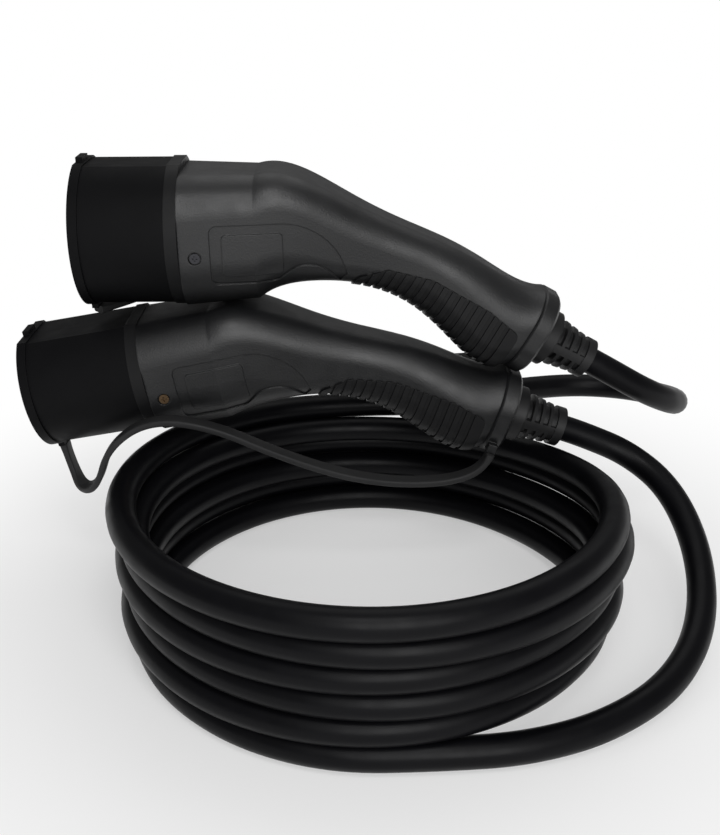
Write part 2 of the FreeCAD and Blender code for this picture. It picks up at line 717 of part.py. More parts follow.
def make_housing(prefix, outer, field):
    """One hollow moulding, open at the front and the tail, with panel, grip seat and screw holes."""
    cavity = skin(prefix, "cavity", "wall", "skin_overrun")
    shell = combine("Part::Cut", f"{prefix}_shell", outer, cavity)
    panel_skin = skin(prefix, "panel_floor", "panel_depth", "skin_overrun")
    panel_depth = combine("Part::Cut", f"{prefix}_panel_layer", outer, panel_skin)
    panel = combine("Part::Common", f"{prefix}_panel", panel_depth, make_panel_tool(prefix))
    seat_skin = skin(prefix, "seat_floor", "grip_seat", "skin_overrun")
    seat_depth = combine("Part::Cut", f"{prefix}_seat_layer", outer, seat_skin)
    seat = combine("Part::Common", f"{prefix}_seat", seat_depth, field)
    panelled = combine("Part::Cut", f"{prefix}_panelled", shell, panel)
    seated = combine("Part::Cut", f"{prefix}_seated", panelled, seat)
    holes = new_body(f"{prefix}_screw_holes")
    through = new_sketch(holes, f"{prefix}_screw_hole", "XZ_Plane")
    circle_outline(through, "screw_shank_radius + fit_gap", "screw_x", "screw_z")
    pad(holes, f"{prefix}_screw_hole_pad", through, f"{prefix}_front_width + 1", both=True)
    for side, sign in (("near", False), ("far", True)):
        away = f"{prefix}_front_width / 2 - screw_sink"
        recess = new_sketch(holes, f"{prefix}_{side}_recess", "XZ_Plane",
                            along=away if not sign else f"-1 * ( {away} )")
        circle_outline(recess, "screw_recess_radius", "screw_x", "screw_z")
        pad(holes, f"{prefix}_{side}_recess_pad", recess, "screw_sink + 1", reverse=sign)
    return keep(combine("Part::Cut", f"{prefix}_holed", seated, holes), f"{prefix}_housing", prefix)


def make_grip(prefix, outer, field):
    """The soft insert in its seat: it stands proud, and grooves cut across it leave the ribs."""
    inner = skin(prefix, "grip_inside", "( grip_seat - grip_gap )", "skin_overrun")
    proud = skin(prefix, "rib_crest", "( -1 * rib_stand )")
    layer = combine("Part::Cut", f"{prefix}_grip_layer", proud, inner)
    pad_shape = combine("Part::Common", f"{prefix}_grip_pad", layer, field)
    slots = combine("Part::Cut", f"{prefix}_grip_slots", make_groove_comb(prefix), outer)
    return keep(combine("Part::Cut", f"{prefix}_grip_ribbed", pad_shape, slots), f"{prefix}_grip", prefix)


def make_screws(prefix):
    """Two pan-head screws, one from each side, that hold the retainer."""
    body = new_body(f"{prefix}_screw_body")
    seat = f"{prefix}_front_width / 2 - screw_sink"
    head = new_sketch(body, f"{prefix}_screw_head_outline", "XZ_Plane", along=seat)
    circle_outline(head, "screw_head_radius", "screw_x", "screw_z")
    pad(body, f"{prefix}_screw_head", head, "screw_head_height")
    shank = new_sketch(body, f"{prefix}_screw_shank_outline", "XZ_Plane", along=seat)
    circle_outline(shank, "screw_shank_radius", "screw_x", "screw_z")
    pad(body, f"{prefix}_screw_shank", shank, "screw_shank_length", reverse=True)
    drive = new_sketch(body, f"{prefix}_screw_drive_outline", "XZ_Plane",
                       along=f"{seat} + screw_head_height")
    half, arm = "0.5 * screw_drive", "0.5 * screw_drive_width"
    cross = [(half, f"-1 * {arm}"), (half, arm), (arm, arm), (arm, half),
             (f"-1 * {arm}", half), (f"-1 * {arm}", arm), (f"-1 * {half}", arm),
             (f"-1 * {half}", f"-1 * {arm}"), (f"-1 * {arm}", f"-1 * {arm}"),
             (f"-1 * {arm}", f"-1 * {half}"), (arm, f"-1 * {half}"), (arm, f"-1 * {arm}")]
    closed_outline(drive, [(f"screw_x + {u}", f"screw_z + {v}") for u, v in cross])
    pocket(body, f"{prefix}_screw_cross", drive, "screw_drive_depth")
    mirror = doc.addObject("Part::Mirroring", f"{prefix}_far_screw")
    mirror.Source = body
    mirror.Normal = Vector(0, 1, 0)
    pair = doc.addObject("Part::Compound", f"{prefix}_screw_pair")
    pair.Links = [body, mirror]
    return keep(pair, f"{prefix}_side_screws", prefix)


# Tail pieces

STRAP_SIDE = {"connector": -1, "plug": 1}


def make_collar(prefix):
    """The end ring of the housing, with the lug that the cap's strap hangs from."""
    body = new_body(f"{prefix}_collar_body")
    ring = cross_sketch(body, f"{prefix}_collar_outline", "tail_along")
    rounded_outline(ring, "tail_width / 2 + collar_lip", "tail_half + collar_lip",
                    "tail_half + collar_lip", "tail_corner + collar_lip",
                    "tail_corner + collar_lip")
    ring_pad = pad(body, f"{prefix}_collar_ring", ring, "collar_length")
    doc.recompute()
    faces = body.Shape.Faces
    far = max(range(len(faces)), key=lambda i: faces[i].CenterOfMass.x)
    bevel = body.newObject("PartDesign::Chamfer", f"{prefix}_collar_bevel")
    bevel.Base = (ring_pad, [f"Face{far + 1}"])
    bevel.Size = size("collar_bevel")
    bevel.setExpression("Size", cell("collar_bevel"))
    lug = cross_sketch(body, f"{prefix}_collar_lug_outline", "tail_along + collar_lug_back")
    side = STRAP_SIDE[prefix]
    out = f"{side} * ( tail_width / 2 + collar_lug_reach )"
    root = f"{side} * ( tail_width / 2 - collar_lug_root )"
    top, bottom = "-1 * collar_lug_drop", "-1 * collar_lug_drop - collar_lug"
    closed_outline(lug, [(out, bottom), (root, bottom), (root, top), (out, top)])
    pad(body, f"{prefix}_collar_lug", lug, "collar_lug")
    hole = cross_sketch(body, f"{prefix}_collar_hole_outline", "tail_along + collar_length")
    circle_outline(hole, "cable_diameter / 2 + fit_gap")
    pocket(body, f"{prefix}_collar_hole", hole, "collar_length")
    return keep(body, f"{prefix}_tail_collar", prefix)


def half_moons(sketch, inner, outer, gap):
    """Two ring halves, above and below, parted by a web on either side."""
    r, big, web = number(inner), number(outer), number(gap) / 2
    for sign in (1, -1):
        arcs = []
        for radius, text in ((big, outer), (r, inner)):
            angle = math.asin(web / radius)
            start, end = (angle, math.pi - angle) if sign > 0 else (math.pi + angle, -angle)
            circle = Part.Circle(Vector(0, 0, 0), Vector(0, 0, 1), radius)
            arc = sketch.addGeometry(Part.ArcOfCircle(circle, start, end))
            sketch.addConstraint(Sketcher.Constraint("Coincident", arc, 3, -1, 1))
            bind(sketch, Sketcher.Constraint("Radius", arc, radius), text)
            arcs.append((arc, radius * math.cos(angle), sign * web))
        (far, far_y, up), (near, near_y, _) = arcs
        left, right = (2, 1) if sign > 0 else (1, 2)
        for end, side in ((right, 1), (left, -1)):
            line = sketch.addGeometry(Part.LineSegment(Vector(side * near_y, up, 0),
                                                       Vector(side * far_y, up, 0)))
            sketch.addConstraint(Sketcher.Constraint("Coincident", line, 1, near, end))
            sketch.addConstraint(Sketcher.Constraint("Coincident", line, 2, far, end))
            sketch.addConstraint(Sketcher.Constraint("Horizontal", line))
            if side == 1:
                order = (-1, 1, line, 1) if sign > 0 else (line, 1, -1, 1)
                bind(sketch, Sketcher.Constraint("DistanceY", *order, web), f"{gap} / 2")

def make_boot(prefix):
    """The bend relief: a base, a tapered neck with flex slots round it, and a thicker end ring."""
    body = new_body(f"{prefix}_boot_body")
    sketch = grip_sketch(body, f"{prefix}_boot_profile")
    start = "tail_along + collar_length"
    bore = "cable_diameter / 2 + fit_gap"
    slots_end = f"{start} + boot_length - boot_end_length"
    closed_outline(sketch, [
        (start, bore), (f"{start} + boot_length", bore),
        (f"{start} + boot_length", "boot_end_radius"), (slots_end, "boot_end_radius"),
        (slots_end, "boot_neck_end_radius"), (f"{start} + boot_base_length", "boot_neck_radius"),
        (f"{start} + boot_base_length", "boot_base_radius"), (start, "boot_base_radius")])
    turned = body.newObject("PartDesign::Revolution", f"{prefix}_boot_turned")
    turned.Profile = sketch
    turned.ReferenceAxis = (sketch, ["H_Axis"])
    turned.Angle = 360
    doc.recompute()
    first = f"{start} + boot_base_length + boot_slot_lead + boot_slot_width"
    slot = cross_sketch(body, f"{prefix}_boot_slot_outline", first)
    half_moons(slot, "boot_slot_floor", "boot_base_radius", "boot_spine")
    cut = pocket(body, f"{prefix}_boot_slot", slot, "boot_slot_width")
    pattern = body.newObject("PartDesign::LinearPattern", f"{prefix}_boot_slots")
    pattern.Originals = [cut]
    pattern.Direction = (slot, ["N_Axis"])
    pattern.setExpression("Length", cell("( boot_slots - 1 ) * boot_slot_pitch"))
    pattern.setExpression("Occurrences", cell("boot_slots"))
    body.Tip = pattern
    return keep(body, f"{prefix}_boot", prefix)


def make_seal(prefix):
    """The gland seal round the cable, in front of the tail collar."""
    body = new_body(f"{prefix}_seal_body")
    sketch = cross_sketch(body, f"{prefix}_seal_outline", "tail_along - seal_length")
    circle_outline(sketch, "seal_radius")
    circle_outline(sketch, "cable_diameter / 2 + fit_gap")
    pad(body, f"{prefix}_seal_ring", sketch, "seal_length")
    return keep(body, f"{prefix}_gland_seal", prefix)


def make_clamp(prefix, lining):
    """The cable clamp: a block that fills the housing's tail and grips the cable."""
    slab = new_body(f"{prefix}_clamp_slab")
    square = cross_sketch(slab, f"{prefix}_clamp_slab_outline", "clamp_start")
    closed_outline(square, [("-1 * tail_width", "-1 * tail_width"), ("tail_width", "-1 * tail_width"),
                            ("tail_width", "tail_width"), ("-1 * tail_width", "tail_width")])
    pad(slab, f"{prefix}_clamp_slab_pad", square, "clamp_length")
    hole = cross_sketch(slab, f"{prefix}_clamp_hole_outline", "clamp_start + clamp_length")
    circle_outline(hole, "cable_diameter / 2 + fit_gap")
    pocket(slab, f"{prefix}_clamp_hole", hole, "clamp_length")
    filled = combine("Part::Common", f"{prefix}_clamp_filled", lining, slab)
    return keep(filled, f"{prefix}_cable_clamp", prefix)


def make_handle(prefix):
    outer = skin(prefix, "outside", "0")
    lining = skin(prefix, "lining", "( wall + fit_gap )", "skin_overrun")
    field = make_grip_field(prefix)
    make_cap(prefix)
    make_ring(prefix)
    make_shroud(prefix)
    make_insert(prefix)
    make_retainer(prefix, lining)
    make_contacts(prefix)
    make_housing(prefix, outer, field)
    make_grip(prefix, outer, field)
    make_screws(prefix)
    make_collar(prefix)
    make_boot(prefix)
    make_seal(prefix)
    make_clamp(prefix, lining)


# Cable

def make_coil():
    """The outside of the six turns: a ring on the floor, higher on its left than on its right."""
    body = new_body("coil_body")
    base = new_sketch(body, "coil_outline", "XY_Plane")
    circle_outline(base, "coil_radius + coil_wall / 2")
    circle_outline(base, "coil_radius - coil_wall / 2")
    pad(body, "coil_ring", base, "coil_left_height")
    slope = new_sketch(body, "coil_slope_outline", "XZ_Plane")
    edge = "( coil_radius + coil_wall )"
    closed_outline(slope, [(f"-1 * {edge}", "coil_left_height"), (edge, "coil_right_height"),
                           (edge, "coil_left_height + coil_wall"),
                           (f"-1 * {edge}", "coil_left_height + coil_wall")])
    pocket(body, "coil_slope", slope, "through", both=True)
    round_edges(body, "coil_round_edges", "coil_round", lambda edge: edge.isClosed())
    return keep(body, "cable_coil")


def arc_route(points, share=0.45):
    """Straight runs through the points, joined by tangent arcs as large as the runs allow."""
    edges, radii = [], []
    last = points[0]
    for before, corner, after in zip(points, points[1:], points[2:]):
        back, ahead = before - corner, after - corner
        turn = math.pi - back.getAngle(ahead)
        reach = share * min(back.Length, ahead.Length)
        radii.append(reach / math.tan(turn / 2))
        start = corner + back.normalize() * reach
        end = corner + ahead.normalize() * reach
        middle_dir = (back + ahead).normalize()
        bow = radii[-1] * (1 / math.cos(turn / 2) - 1)
        edges.append(Part.LineSegment(last, start).toShape())
        edges.append(Part.Arc(start, corner + middle_dir * bow, end).toShape())
        last = end
    edges.append(Part.LineSegment(last, points[-1]).toShape())
    return Part.Wire(edges), radii


def handle_point(prefix, x, y, z):
    """A place in a handle's own frame, as a place in the whole."""
    spot = Vector(size(f"{prefix}_x"), size(f"{prefix}_y"), size(f"{prefix}_z"))
    turn = Rotation(Vector(0, 1, 0), size(f"{prefix}_pitch"))
    return spot + turn.multVec(Vector(x, y, z))


def grip_point(prefix, along, side=0.0, up=0.0):
    tilt = size("grip_tilt") * DEG
    x = size("neck_x") + along * math.cos(tilt) + up * math.sin(tilt)
    z = size("neck_z") - along * math.sin(tilt) + up * math.cos(tilt)
    return handle_point(prefix, x, side, z)


def make_cable(prefix, way):
    """A cable from the clamp in a handle, out of the boot and along its way to the coil."""
    inside = grip_point(prefix, size("clamp_start"))
    boot_end = size("tail_along") + size("collar_length") + size("boot_length")
    points = [inside, grip_point(prefix, boot_end + size("cable_lead"))]
    points += [Vector(*spot) for spot in way]
    wire, radii = arc_route(points)
    print(prefix, "cable", round(wire.Length), "mm, radii", [round(r) for r in radii])
    first = wire.Edges[0]
    ring = Part.Circle(points[0], first.tangentAt(first.FirstParameter), size("cable_diameter") / 2)
    tube = wire.makePipeShell([Part.Wire([ring.toShape()])], True, False)
    ideal = math.pi * (size("cable_diameter") / 2) ** 2 * wire.Length
    print(prefix, "cable volume ratio", round(tube.Volume / ideal, 4))
    piece = doc.addObject("Part::Feature", f"{prefix}_cable_tube")
    piece.Shape = tube
    return keep(piece, f"{prefix}_cable")


def make_strap(prefix, way, width_way):
    """The flat strap from the cap's lower lug to the lug on the tail collar."""
    front = -size("ring_length") - size(f"{prefix}_cap_length") + size("lug_depth") / 2
    drop = size(f"{prefix}_cap_centre") - size(f"{prefix}_cap_radius") - size("flange_lip")
    drop -= size("lug_height") + size(f"{prefix}_strap_start")
    start = handle_point(prefix, front, 0, drop)
    lug = size("tail_along") + size("collar_lug_back") + size("collar_lug") / 2
    out = STRAP_SIDE[prefix] * (size("tail_width") + size("collar_lug_reach")) / 2
    under = size("collar_lug_drop") + size("collar_lug") + size(f"{prefix}_strap_end")
    end = grip_point(prefix, lug, out, -under)
    points = [start] + [Vector(*spot) for spot in way] + [end]
    wire, radii = arc_route(points)
    print(prefix, "strap", round(wire.Length), "mm, radii", [round(r) for r in radii])
    first = wire.Edges[0]
    tangent = first.tangentAt(first.FirstParameter)
    thick = tangent.cross(width_way).normalize()
    a, b = width_way * (size("strap_width") / 2), thick * (size("strap_thickness") / 2)
    outline = Part.makePolygon([start + a + b, start - a + b, start - a - b, start + a - b,
                                start + a + b])
    maker = Part.BRepOffsetAPI.MakePipeShell(wire)
    maker.setBiNormalMode(width_way)
    maker.add(outline, False, False)
    maker.build()
    maker.makeSolid()
    band = maker.shape()
    ideal = size("strap_width") * size("strap_thickness") * wire.Length
    print(prefix, "strap volume ratio", round(band.Volume / ideal, 4))
    piece = doc.addObject("Part::Feature", f"{prefix}_strap_band")
    piece.Shape = band
    return keep(piece, f"{prefix}_cap_strap")


CONNECTOR_CABLE_WAY = [
    (154, 68, 62), (178, 44, 50), (185, 6, 34), (174, -36, 20), (149, -74, 12), (112, -101, 8.5),
    (70, -116, 8), (30, -121, 8)]
PLUG_CABLE_WAY = [
    (158, 76, 99), (183, 96, 83), (191, 132, 71), (175, 164, 64), (141, 176, 62), (105, 165, 64),
    (69, 146, 67), (32, 128, 69)]
CONNECTOR_STRAP_WAY = [
    (-174, 70, 55), (-166, 60, 45), (-153, 49, 54), (-143, 43, 82), (-115, 38, 95), (-78, 38, 83),
    (-38, 40, 65), (4, 42, 57), (40, 44, 58), (62.8, 45.8, 64)]
PLUG_STRAP_WAY = [
    (-138, 86, 150.5), (-122, 104, 152), (-106, 119, 139), (-86, 130, 119), (-54, 136, 99),
    (-16, 136, 86), (22, 130, 82), (52, 116, 88), (73.3, 98.2, 112)]

for end in ("connector", "plug"):
    make_handle(end)
make_coil()
make_cable("connector", CONNECTOR_CABLE_WAY)
make_cable("plug", PLUG_CABLE_WAY)
make_strap("connector", CONNECTOR_STRAP_WAY, Vector(0, 1, 0))
make_strap("plug", PLUG_STRAP_WAY, Vector(0.38, -0.92, 0).normalize())

doc.recompute()
faults = [thing.Label for thing in doc.Objects if "Invalid" in thing.State or "Error" in thing.State]
for piece in pieces:
    if piece.Shape.isNull() or not piece.Shape.isValid() or piece.Shape.Volume <= 0:
        faults.append(piece.Label)
if faults:
    raise RuntimeError(f"failed objects: {faults}")

os.makedirs("parts", exist_ok=True)
for piece in pieces:
    piece.Shape.exportStep(f"parts/{piece.Label}.step")
print(len(pieces), "pieces")
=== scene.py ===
"""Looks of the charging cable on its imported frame: cords, finishes, floor, light and camera."""
import json
import math
import bmesh
import bpy
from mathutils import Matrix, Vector


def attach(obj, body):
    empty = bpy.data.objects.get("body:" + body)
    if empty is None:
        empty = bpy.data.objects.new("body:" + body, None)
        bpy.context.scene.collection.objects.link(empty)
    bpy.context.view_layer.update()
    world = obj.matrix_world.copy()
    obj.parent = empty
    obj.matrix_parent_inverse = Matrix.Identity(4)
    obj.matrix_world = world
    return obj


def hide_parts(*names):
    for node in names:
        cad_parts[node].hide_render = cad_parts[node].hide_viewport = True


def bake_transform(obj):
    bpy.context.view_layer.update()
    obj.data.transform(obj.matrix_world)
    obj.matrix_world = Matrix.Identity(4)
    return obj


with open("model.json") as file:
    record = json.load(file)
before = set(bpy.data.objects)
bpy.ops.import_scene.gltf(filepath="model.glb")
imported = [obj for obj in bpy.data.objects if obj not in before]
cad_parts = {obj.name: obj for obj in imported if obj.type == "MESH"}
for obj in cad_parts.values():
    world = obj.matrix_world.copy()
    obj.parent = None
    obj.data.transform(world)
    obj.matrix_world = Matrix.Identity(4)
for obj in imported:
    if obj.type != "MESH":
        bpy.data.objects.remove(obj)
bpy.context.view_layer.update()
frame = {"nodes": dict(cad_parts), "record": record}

# Camera, in metres and degrees, with its lens and film in millimetres

CAMERA_PLACE = (-0.006, -0.493, 0.341)
CAMERA_DIP = 24.4
CAMERA_LENS = 46.5
CAMERA_FILM = 36
NEAREST_SEEN = 0.01

camera_data = bpy.data.cameras.new("camera")
camera_data.lens = CAMERA_LENS
camera_data.sensor_width = CAMERA_FILM
camera_data.clip_start = NEAREST_SEEN
camera = bpy.data.objects.new("camera", camera_data)
bpy.context.scene.collection.objects.link(camera)
camera.location = CAMERA_PLACE
camera.rotation_euler = (math.radians(90 - CAMERA_DIP), 0, 0)
bpy.context.scene.camera = camera

# Cords, in metres and degrees

CABLE_RADIUS = 0.0075
CORD_RESOLUTION = 10
CORD_ORDER = 3
CABLE_ROUNDNESS = 7

# The coil starts on the floor in front and runs clockwise, seen from above.
COIL_RADIUS = 0.123
COIL_START = -76.1
COIL_SWEEP = 1990.9
POINTS_PER_TURN = 16
FLOOR_GAP = 0.0003
MIDDLE_LEVEL = 2.5

# Middle to middle, turns that touch are TURN_GAP apart. In front they stand on each other; at the
# back, round PRESSED_ANGLE, each rises less and nests beside the one below.
TURN_GAP = 0.01484
FREE_RISE = TURN_GAP
PRESSED_RISE = 0.0120
PRESSED_ANGLE = 86
PRESSED_SPREAD = 72

# Upper turns lean out by this much a level, except where they are pressed.
LEAN = 0.0014
LEAN_FADE = 4

# Where a turn starts to climb onto the next level and how long it takes, as shares of a turn.
# Half way up, the gaps between turns are wider by a quarter of CLIMB_SLACK.
CLIMB_START = 0.657
CLIMB_LENGTH = 0.25
CLIMB_SLACK = 0.11

# Turns nest to the inside and the outside in alternation, and change sides in front.
SWAP_ANGLE = -90
SWAP_SHARPNESS = 4

# A slow wave in the radius, in radians a turn, keeps the free turns from looking machine-made.
RIPPLE = 0.0008
RIPPLE_RATE = 5.2
RIPPLE_START = 1.1

# The cable's routes start in the boots, with three points in line, so that it passes straight
# through their mouths. The straps' routes run from the caps to the tails.
CONNECTOR_ROUTE = [
    (0.0974, 0.070, 0.0837), (0.1040, 0.070, 0.0814), (0.1220, 0.070, 0.0752),
    (0.150, 0.067, 0.064), (0.170, 0.046, 0.052), (0.177, 0.008, 0.035), (0.169, -0.036, 0.020),
    (0.146, -0.074, 0.012), (0.110, -0.101, 0.0085), (0.070, -0.116, 0.008)]
PLUG_ROUTE = [
    (0.1108, 0.074, 0.1261), (0.1165, 0.074, 0.1230), (0.1336, 0.074, 0.1136),
    (0.158, 0.076, 0.099), (0.183, 0.096, 0.083), (0.191, 0.132, 0.071), (0.175, 0.164, 0.064),
    (0.141, 0.176, 0.062), (0.105, 0.165, 0.064), (0.069, 0.146, 0.067), (0.032, 0.128, 0.069)]
CONNECTOR_STRAP_ROUTE = [
    (-0.1769, 0.0700, 0.0701), (-0.174, 0.070, 0.055), (-0.166, 0.060, 0.045),
    (-0.154, 0.048, 0.054), (-0.144, 0.040, 0.082), (-0.119, 0.033, 0.102), (-0.086, 0.031, 0.099),
    (-0.048, 0.034, 0.079), (-0.006, 0.039, 0.062), (0.036, 0.044, 0.057), (0.0628, 0.0458, 0.064),
    (0.0664, 0.0458, 0.0750)]
PLUG_STRAP_ROUTE = [
    (-0.1504, 0.0740, 0.1498), (-0.138, 0.086, 0.1505), (-0.122, 0.105, 0.152),
    (-0.106, 0.122, 0.142), (-0.086, 0.136, 0.127), (-0.054, 0.145, 0.112), (-0.016, 0.147, 0.101),
    (0.022, 0.142, 0.097), (0.052, 0.125, 0.099), (0.0733, 0.0982, 0.112), (0.0784, 0.0982, 0.1220)]


def nurbs(name, points):
    """A curve of one open NURBS spline, with the cable's radius at each control point."""
    data = bpy.data.curves.new(name, "CURVE")
    data.dimensions = "3D"
    data.resolution_u = CORD_RESOLUTION
    spline = data.splines.new("NURBS")
    spline.points.add(len(points) - 1)
    for control, spot in zip(spline.points, points):
        control.co = (*spot, 1)
        control.radius = CABLE_RADIUS
    spline.order_u = CORD_ORDER
    spline.use_endpoint_u = True
    piece = bpy.data.objects.new(name, data)
    bpy.context.scene.collection.objects.link(piece)
    return piece


def read_route(name, points):
    """The smooth line of a route, as points in order."""
    piece = nurbs(name, points)
    bpy.context.view_layer.update()
    mesh = bpy.data.meshes.new_from_object(piece)
    line = [v.co.copy() for v in mesh.vertices]
    bpy.data.meshes.remove(mesh)
    bpy.data.objects.remove(piece)
    return line


def coil_points():
    """The coil's turns, from the floor up. They stand stacked in front, leaning out, and are
    pressed into each other at the back, under the handle. Each climbs to the next at the right."""
    count = round(COIL_SWEEP / 360 * POINTS_PER_TURN)
    # The spline touches the middles of the lines between its points, so these lie further out.
    reach = 1 / math.cos(math.pi / POINTS_PER_TURN)
    points = []
    for k in range(count + 1):
        turns = k / count * COIL_SWEEP / 360
        degrees = COIL_START - 360 * turns
        climb = min(1, max(0, (turns % 1 - CLIMB_START) / CLIMB_LENGTH))
        level = math.floor(turns) + climb * climb * (3 - 2 * climb)
        away = (degrees - PRESSED_ANGLE + 180) % 360 - 180
        pressed = math.exp(-(away / PRESSED_SPREAD) ** 2)
        slack = 1 + CLIMB_SLACK * climb * (1 - climb)
        rise = slack * (FREE_RISE + (PRESSED_RISE - FREE_RISE) * pressed)
        lean = LEAN * (1 - pressed) ** LEAN_FADE
        nest = math.sqrt(max(0, (slack * TURN_GAP) ** 2 - rise ** 2)) + lean
        swap = math.sin(math.pi * (turns + (COIL_START - SWAP_ANGLE) / -360))
        side = -math.tanh(SWAP_SHARPNESS * swap)
        radius = COIL_RADIUS + lean * (level - MIDDLE_LEVEL) + side * nest / 2
        radius += RIPPLE * (1 - pressed) * math.sin(RIPPLE_RATE * turns + RIPPLE_START)
        angle = math.radians(degrees)
        points.append((radius * reach * math.cos(angle), radius * reach * math.sin(angle),
                       CABLE_RADIUS + FLOOR_GAP + rise * level))
    return points


def make_cable():
    """The whole cable, from one boot round the coil to the other."""
    cable = nurbs("main_cable", CONNECTOR_ROUTE + coil_points() + PLUG_ROUTE[::-1])
    # The bevel is scaled by the radius that each point holds.
    cable.data.bevel_depth = 1
    cable.data.bevel_resolution = CABLE_ROUNDNESS
    cable.data.use_fill_caps = True
    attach(cable, "root")
    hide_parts("cable_coil", "connector_cable", "plug_cable")
    return cable


# Straps, in metres and degrees

STRAP_WIDTH = 0.009
STRAP_THICKNESS = 0.0036
STRAP_CORNER = 0.0011
CORNER_STEPS = 4
STRAP_SHARP = 50

# The direction that each strap's width lies in
CONNECTOR_STRAP_ACROSS = (0, 1, 0)
PLUG_STRAP_ACROSS = (0.38, -0.92, 0)

# At its ends a strap is thicker by this share, which fades over this distance.
ROOT_SWELL = 0.25
ROOT_REACH = 0.004


def strap_section():
    """A rounded rectangle, as places across and through the strap."""
    section = []
    for sx, sy, start in ((1, 1, 0), (-1, 1, 90), (-1, -1, 180), (1, -1, 270)):
        for step in range(CORNER_STEPS + 1):
            turn = math.radians(start + 90 / CORNER_STEPS * step)
            across = sx * (STRAP_WIDTH / 2 - STRAP_CORNER) + STRAP_CORNER * math.cos(turn)
            through = sy * (STRAP_THICKNESS / 2 - STRAP_CORNER) + STRAP_CORNER * math.sin(turn)
            section.append((across, through))
    return section


def make_strap(prefix, route, width_way):
    """A flat moulded strap along its route, with a thicker root at each end."""
    line = read_route(f"{prefix}_route", [Vector(p) for p in route])
    width_way = Vector(width_way)
    section = strap_section()
    work = bmesh.new()
    rings = []
    done = 0.0
    total = sum((b - a).length for a, b in zip(line, line[1:]))
    for k, spot in enumerate(line):
        ahead = line[min(k + 1, len(line) - 1)] - line[max(k - 1, 0)]
        tangent = ahead.normalized()
        across = (width_way - tangent * width_way.dot(tangent)).normalized()
        through = tangent.cross(across)
        if k:
            done += (spot - line[k - 1]).length
        near = min(done, total - done)
        swell = 1 + ROOT_SWELL * math.exp(-(near / ROOT_REACH) ** 2)
        ring = [spot + across * u + through * v * swell for u, v in section]
        rings.append([work.verts.new(corner) for corner in ring])
    for one, two in zip(rings, rings[1:]):
        for i in range(len(section)):
            j = (i + 1) % len(section)
            work.faces.new((one[i], one[j], two[j], two[i]))
    work.faces.new(rings[0][::-1])
    work.faces.new(rings[-1])
    mesh = bpy.data.meshes.new(f"{prefix}_strap")
    bmesh.ops.recalc_face_normals(work, faces=work.faces)
    work.to_mesh(mesh)
    work.free()
    mesh.shade_smooth()
    mesh.set_sharp_from_angle(angle=math.radians(STRAP_SHARP))
    strap = bpy.data.objects.new(f"{prefix}_strap", mesh)
    bpy.context.scene.collection.objects.link(strap)
    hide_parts(f"{prefix}_cap_strap")
    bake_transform(strap)
    return strap


cable = make_cable()
straps = [
    make_strap("connector", CONNECTOR_STRAP_ROUTE, CONNECTOR_STRAP_ACROSS),
    make_strap("plug", PLUG_STRAP_ROUTE, PLUG_STRAP_ACROSS)]

# Finishes

# Wide clouds change the tone, finer smears the gloss, and grain the relief.
CLOUD_SCALE = 30
CLOUD_DETAIL = 4
SMEAR_RATIO = 2.7
SMEAR_DETAIL = 6
GRAIN_DETAIL = 3

# Noise between these two values is spread over the whole change of tone or gloss.
NOISE_LOW = 0.3
NOISE_HIGH = 0.7
TONE_SPREAD = 0.12
ROUGH_SPREAD = 0.06

EDGE_SAMPLES = 4

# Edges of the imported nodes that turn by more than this, in degrees, are shaded sharp.
NODE_SHARP = 28


def add(tree, kind, **values):
    """A shader node with its settings and the values of its sockets."""
    node = tree.nodes.new(kind)
    for name, value in values.items():
        if hasattr(node, name) and name not in node.inputs:
            setattr(node, name, value)
        else:
            node.inputs[name.replace("_", " ")].default_value = value
    return node


